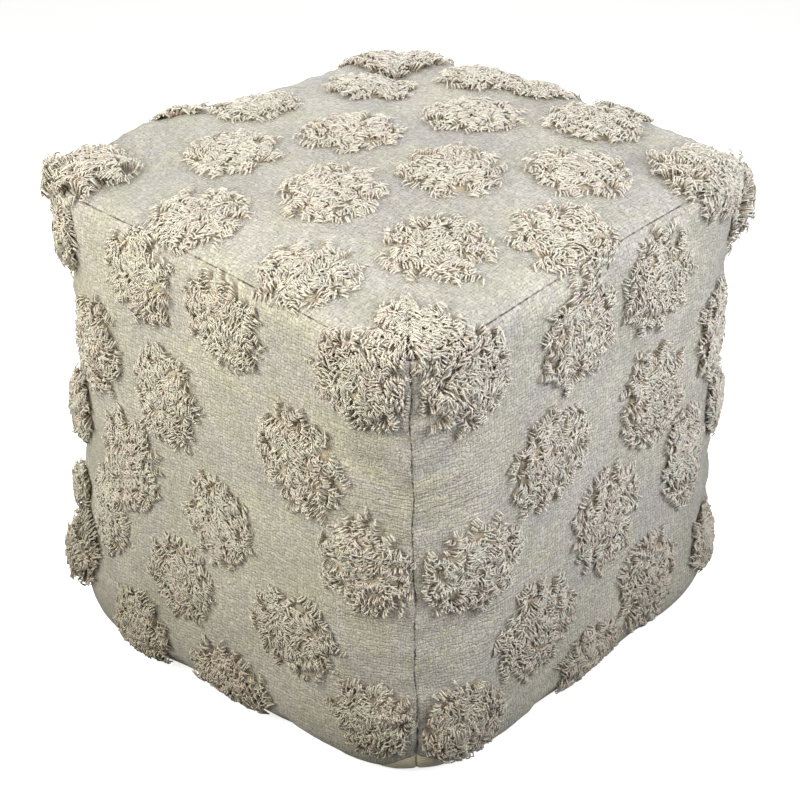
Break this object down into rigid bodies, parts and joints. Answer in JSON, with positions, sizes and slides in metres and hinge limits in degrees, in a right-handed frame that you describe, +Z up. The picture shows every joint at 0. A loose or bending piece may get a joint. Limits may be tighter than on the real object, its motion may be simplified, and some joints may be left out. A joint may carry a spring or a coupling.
{
  "type": "cube pouf stool",
  "caption": "Soft cube pouf seat in an oatmeal hand-woven cotton cover with shaggy round tufts of cut yarn scattered over its top and sides.",
  "frame": {"origin": "on the floor under the middle of the whole pouf, tufts included", "axes": "+Z up; +Y along the longer pair of sides; the left panel faces -Y and the right panel faces +X, as the picture shows them over the edge between the two"},
  "size_m": [0.4974, 0.5244, 0.4948],
  "materials": {
    "cover_cloth": "matt plain-woven cotton with slub bands",
    "tuft_yarn": "matt cut cotton yarn, shaggy"
  },
  "bodies": {
    "root": {"pouf_body": "cover_cloth", "tuft_corner_front": "tuft_yarn", "tuft_corner_left": "tuft_yarn", "tuft_corner_right": "tuft_yarn", "tuft_corner_back": "tuft_yarn", "tuft_top_01": "tuft_yarn", "tuft_top_02": "tuft_yarn", "tuft_top_03": "tuft_yarn", "tuft_top_04": "tuft_yarn", "tuft_top_05": "tuft_yarn", "tuft_top_06": "tuft_yarn", "tuft_top_07": "tuft_yarn", "tuft_top_08": "tuft_yarn", "tuft_top_09": "tuft_yarn", "tuft_top_10": "tuft_yarn", "tuft_top_11": "tuft_yarn", "tuft_top_12": "tuft_yarn", "tuft_top_13": "tuft_yarn", "tuft_top_14": "tuft_yarn", "tuft_left_01": "tuft_yarn", "tuft_left_02": "tuft_yarn", "tuft_left_03": "tuft_yarn", "tuft_left_04": "tuft_yarn", "tuft_left_05": "tuft_yarn", "tuft_left_06": "tuft_yarn", "tuft_left_07": "tuft_yarn", "tuft_left_08": "tuft_yarn", "tuft_left_09": "tuft_yarn", "tuft_left_10": "tuft_yarn", "tuft_left_11": "tuft_yarn", "tuft_left_12": "tuft_yarn", "tuft_left_13": "tuft_yarn", "tuft_left_14": "tuft_yarn", "tuft_right_01": "tuft_yarn", "tuft_right_02": "tuft_yarn", "tuft_right_03": "tuft_yarn", "tuft_right_04": "tuft_yarn", "tuft_right_05": "tuft_yarn", "tuft_right_06": "tuft_yarn", "tuft_right_07": "tuft_yarn", "tuft_right_08": "tuft_yarn", "tuft_right_09": "tuft_yarn", "tuft_right_10": "tuft_yarn", "tuft_right_11": "tuft_yarn", "tuft_right_12": "tuft_yarn", "tuft_right_13": "tuft_yarn", "tuft_right_14": "tuft_yarn", "tuft_back_left_07": "tuft_yarn", "tuft_back_left_01": "tuft_yarn", "tuft_back_left_02": "tuft_yarn", "tuft_back_left_03": "tuft_yarn", "tuft_back_left_04": "tuft_yarn", "tuft_back_left_05": "tuft_yarn", "tuft_back_left_06": "tuft_yarn", "tuft_back_right_01": "tuft_yarn", "tuft_back_right_02": "tuft_yarn", "tuft_back_right_03": "tuft_yarn", "tuft_back_right_04": "tuft_yarn", "tuft_back_right_05": "tuft_yarn", "tuft_back_right_06": "tuft_yarn"}
  },
  "joints": []
}
